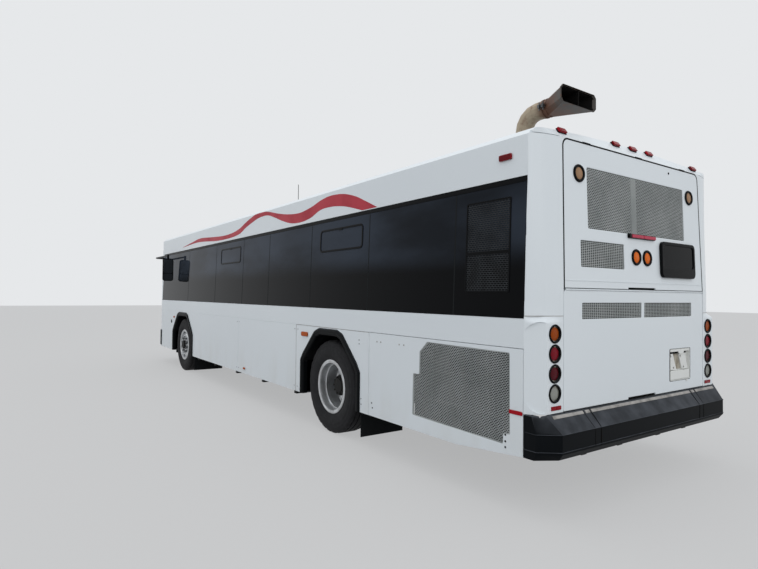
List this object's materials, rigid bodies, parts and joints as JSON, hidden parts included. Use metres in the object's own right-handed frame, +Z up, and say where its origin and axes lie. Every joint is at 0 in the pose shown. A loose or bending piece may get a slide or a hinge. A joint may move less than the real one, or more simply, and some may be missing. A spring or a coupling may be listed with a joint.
{
  "type": "city bus",
  "caption": "Low-floor city bus with tinted side windows, twin-leaf doors, rear engine door and hatch, roof exhaust, steered front wheels and twin rear wheels.",
  "frame": {"origin": "on the ground, midway between the bumpers and between the sides", "axes": "+X forward, +Y to the driver's left, +Z up"},
  "size_m": [10.7198, 3.07, 3.0999],
  "materials": {
    "body_paint": "gloss white paint",
    "frame_black": "satin black paint",
    "tinted_glass": "dark tinted glass",
    "chassis_steel": "black chassis paint",
    "black_plastic": "moulded black plastic",
    "black_rubber": "moulded black rubber",
    "amber_lens": "moulded amber lens",
    "red_lens": "moulded red lens",
    "clear_lens": "clear lens over a reflector",
    "floor_lining": "grey floor lining",
    "cast_metal": "painted castings",
    "radiator_core": "dark finned core",
    "tyre_rubber": "worn tyre rubber",
    "wheel_metal": "polished disc wheel",
    "exhaust_steel": "heat-browned steel",
    "seat_fabric": "woven seat cover",
    "rail_steel": "brushed stainless tube"
  },
  "bodies": {
    "body": {"roof_shell": "body_paint", "side_wall_left": "body_paint", "side_wall_right": "body_paint", "front_cap": "body_paint", "rear_cap": "body_paint", "window_frames": "frame_black", "side_glass": "tinted_glass", "front_glass": "tinted_glass", "mirrors": "black_plastic", "dashboard": "black_plastic", "roof_fittings": "black_plastic", "amber_lamps": "amber_lens", "red_lamps": "red_lens", "clear_lamps": "clear_lens", "lamp_grommets": "black_rubber", "rear_bumper": "black_rubber", "front_bumper": "black_rubber", "arch_trims": "black_rubber", "mud_flaps": "black_rubber", "floor_deck": "floor_lining", "raised_deck": "floor_lining", "engine_bulkhead": "floor_lining", "underframe": "chassis_steel", "rear_frame": "chassis_steel", "engine_block": "cast_metal", "radiator": "radiator_core", "rear_axle": "cast_metal", "front_axle": "cast_metal", "exhaust_stack": "exhaust_steel", "passenger_seats": "seat_fabric", "driver_seat": "seat_fabric", "handrails": "rail_steel"},
    "engine_door": {"engine_door": "body_paint"},
    "rear_hatch": {"rear_hatch": "body_paint", "rear_sign": "black_plastic", "hatch_amber_lamps": "amber_lens", "brake_lamp": "red_lens"},
    "radiator_door": {"radiator_door": "body_paint"},
    "door_arm_rear": {"front_door_arm_rear": "chassis_steel"},
    "door_arm_front": {"front_door_arm_front": "chassis_steel"},
    "door_leaf_rear": {"front_door_leaf_rear": "frame_black", "front_door_glass_rear": "tinted_glass"},
    "door_leaf_front": {"front_door_leaf_front": "frame_black", "front_door_glass_front": "tinted_glass"},
    "exit_leaf_rear": {"rear_door_leaf_rear": "frame_black", "rear_door_glass_rear": "tinted_glass"},
    "exit_leaf_front": {"rear_door_leaf_front": "frame_black", "rear_door_glass_front": "tinted_glass"},
    "knuckle_left": {"knuckle_left": "cast_metal"},
    "knuckle_right": {"knuckle_right": "cast_metal"},
    "track_rod": {"track_rod": "chassis_steel"},
    "front_wheel_left": {"front_tyre_left": "tyre_rubber", "front_wheel_left": "wheel_metal"},
    "front_wheel_right": {"front_tyre_right": "tyre_rubber", "front_wheel_right": "wheel_metal"},
    "rear_wheels_left": {"rear_tyres_left": "tyre_rubber", "rear_wheels_left": "wheel_metal"},
    "rear_wheels_right": {"rear_tyres_right": "tyre_rubber", "rear_wheels_right": "wheel_metal"}
  },
  "joints": [
    {"name": "steer_left", "type": "hinge", "parent": "body", "child": "knuckle_left", "pos_m": [3.091, 0.95, 0.495], "axis": [0, 0, 1], "range_deg": [-40, 40]},
    {"name": "steer_right", "type": "hinge", "parent": "body", "child": "knuckle_right", "pos_m": [3.091, -0.95, 0.495], "axis": [0, 0, 1], "range_deg": [-40, 40]},
    {"name": "track_rod_pivot", "type": "hinge", "parent": "knuckle_left", "child": "track_rod", "pos_m": [2.901, 0.95, 0.3], "axis": [0, 0, 1], "range_deg": [-40, 40]},
    {"name": "roll_front_left", "type": "hinge", "parent": "knuckle_left", "child": "front_wheel_left", "pos_m": [3.091, 1.13, 0.495], "axis": [0, 1, 0], "continuous": true},
    {"name": "roll_front_right", "type": "hinge", "parent": "knuckle_right", "child": "front_wheel_right", "pos_m": [3.091, -1.13, 0.495], "axis": [0, 1, 0], "continuous": true},
    {"name": "roll_rear_left", "type": "hinge", "parent": "body", "child": "rear_wheels_left", "pos_m": [-2.509, 0.96, 0.495], "axis": [0, 1, 0], "continuous": true},
    {"name": "roll_rear_right", "type": "hinge", "parent": "body", "child": "rear_wheels_right", "pos_m": [-2.509, -0.96, 0.495], "axis": [0, 1, 0], "continuous": true},
    {"name": "front_door", "type": "hinge", "parent": "body", "child": "door_arm_rear", "pos_m": [3.79, -1.19, 1.2], "axis": [0, 0, 1], "range_deg": [0, 75]},
    {"name": "front_door_fold", "type": "hinge", "parent": "door_arm_rear", "child": "door_leaf_rear", "pos_m": [4.01125, -1.19, 1.2], "axis": [0, 0, 1], "range_deg": [-150, 0]},
    {"name": "front_door_second", "type": "hinge", "parent": "body", "child": "door_arm_front", "pos_m": [4.715, -1.19, 1.2], "axis": [0, 0, 1], "range_deg": [-75, 0]},
    {"name": "front_door_second_fold", "type": "hinge", "parent": "door_arm_front", "child": "door_leaf_front", "pos_m": [4.49375, -1.19, 1.2], "axis": [0, 0, 1], "range_deg": [0, 150]},
    {"name": "rear_door", "type": "hinge", "parent": "body", "child": "exit_leaf_rear", "pos_m": [-1.681, -1.254, 1.2], "axis": [0, 0, -1], "range_deg": [0, 85]},
    {"name": "rear_door_second", "type": "hinge", "parent": "body", "child": "exit_leaf_front", "pos_m": [-0.609, -1.254, 1.2], "axis": [0, 0, -1], "range_deg": [-85, 0]},
    {"name": "engine_door_hinge", "type": "hinge", "parent": "body", "child": "engine_door", "pos_m": [-5.255, 0, 1.5345], "axis": [0, 1, 0], "range_deg": [0, 85]},
    {"name": "rear_hatch_hinge", "type": "hinge", "parent": "body", "child": "rear_hatch", "pos_m": [-5.219, 0, 2.6045], "axis": [0, 1, 0], "range_deg": [0, 75]},
    {"name": "radiator_door_hinge", "type": "hinge", "parent": "body", "child": "radiator_door", "pos_m": [-3.293, 1.295, 0.75], "axis": [0, 0, -1], "range_deg": [0, 90]}
  ],
  "couplings": [
    {"joint": "steer_right", "follows": "steer_left", "ratio": 1},
    {"joint": "track_rod_pivot", "follows": "steer_left", "ratio": -1},
    {"joint": "front_door_fold", "follows": "front_door", "ratio": -2},
    {"joint": "front_door_second", "follows": "front_door", "ratio": -1},
    {"joint": "front_door_second_fold", "follows": "front_door", "ratio": 2},
    {"joint": "rear_door_second", "follows": "rear_door", "ratio": -1}
  ]
}
